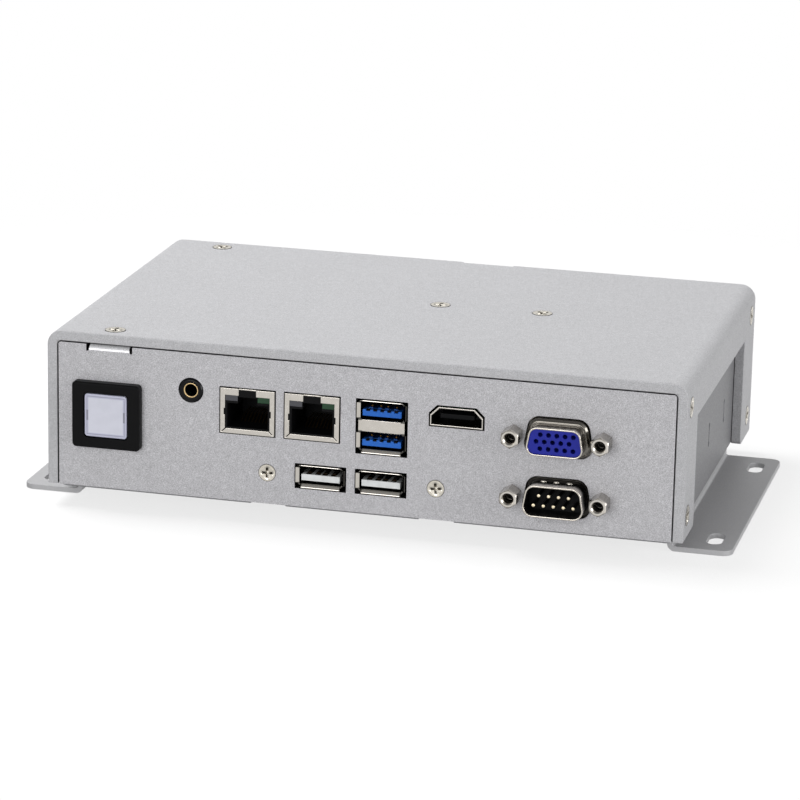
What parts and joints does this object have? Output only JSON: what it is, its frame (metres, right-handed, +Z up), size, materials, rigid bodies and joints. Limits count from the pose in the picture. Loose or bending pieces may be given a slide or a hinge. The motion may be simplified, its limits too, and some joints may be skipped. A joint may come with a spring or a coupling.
{
  "type": "fanless industrial pc",
  "caption": "Flat box computer with a thick channel cover, side windows, slotted mounting brackets, front connectors and a square push switch.",
  "frame": {"origin": "on the mounting surface, under the middle of the cover", "axes": "+Z up from the mounting surface, -Y towards the connectors, +X to the right seen from the front"},
  "size_m": [0.2058, 0.1255, 0.0513],
  "materials": {
    "cover_metal": "fine blasted silver grey",
    "panel_metal": "fine-grained silver grey paint",
    "pan_metal": "fine-grained silver grey paint",
    "screw_nickel": "nickel plated",
    "port_nickel": "bright nickel plate",
    "board_green": "solder resist",
    "chip": "matte package",
    "thermal_pad": "soft silicone",
    "block_aluminium": "milled",
    "black_plastic": "moulded, matte",
    "cell_steel": "plain",
    "contact_gold": "gold plated",
    "lamp_clear": "clear lens",
    "lamp_green": "green lens",
    "usb_blue": "moulded",
    "usb_white": "moulded",
    "vga_blue": "moulded",
    "cap_clear": "clear",
    "diffuser_white": "milky"
  },
  "bodies": {
    "housing": {"audio_body": "black_plastic", "audio_ring": "contact_gold", "base_pan": "pan_metal", "board_link": "black_plastic", "board_screws": "screw_nickel", "bracket_left": "pan_metal", "bracket_right": "pan_metal", "bracket_screws": "screw_nickel", "card_socket": "black_plastic", "cell_holder": "black_plastic", "clinch_nuts": "screw_nickel", "clock_cell": "cell_steel", "cpu": "chip", "front_panel": "panel_metal", "hdmi_insert": "black_plastic", "hdmi_shell": "port_nickel", "heat_block": "block_aluminium", "heat_screws": "screw_nickel", "inlet_body": "black_plastic", "inlet_nut": "port_nickel", "inlet_pin": "contact_gold", "jackscrews": "port_nickel", "lamps_clear": "lamp_clear", "lamps_green": "lamp_green", "main_board": "board_green", "main_standoffs": "screw_nickel", "memory_module": "board_green", "memory_socket": "black_plastic", "panel_screws": "screw_nickel", "port_board": "board_green", "port_standoffs": "screw_nickel", "rear_panel": "panel_metal", "rj45_contacts": "contact_gold", "rj45_inserts": "black_plastic", "rj45_shields": "port_nickel", "serial_insert": "black_plastic", "serial_pins": "contact_gold", "serial_shell": "port_nickel", "side_screws": "screw_nickel", "storage_card": "board_green", "switch_bezel": "black_plastic", "switch_body": "black_plastic", "switch_terminals": "contact_gold", "thermal_pad": "thermal_pad", "top_cover": "cover_metal", "top_screws": "screw_nickel", "usb2_pins": "contact_gold", "usb2_shells": "port_nickel", "usb2_tongues": "usb_white", "usb3_pins": "contact_gold", "usb3_shell": "port_nickel", "usb3_tongues": "usb_blue", "vga_insert": "vga_blue", "vga_shell": "port_nickel"},
    "button": {"button_cap": "cap_clear", "button_diffuser": "diffuser_white", "button_plunger": "diffuser_white"}
  },
  "joints": [
    {"name": "button_press", "type": "slide", "parent": "housing", "child": "button", "axis": [0, 1, 0], "range_m": [0, 0.002], "stiffness_N_per_m": 600, "springref_m": -0.001}
  ]
}
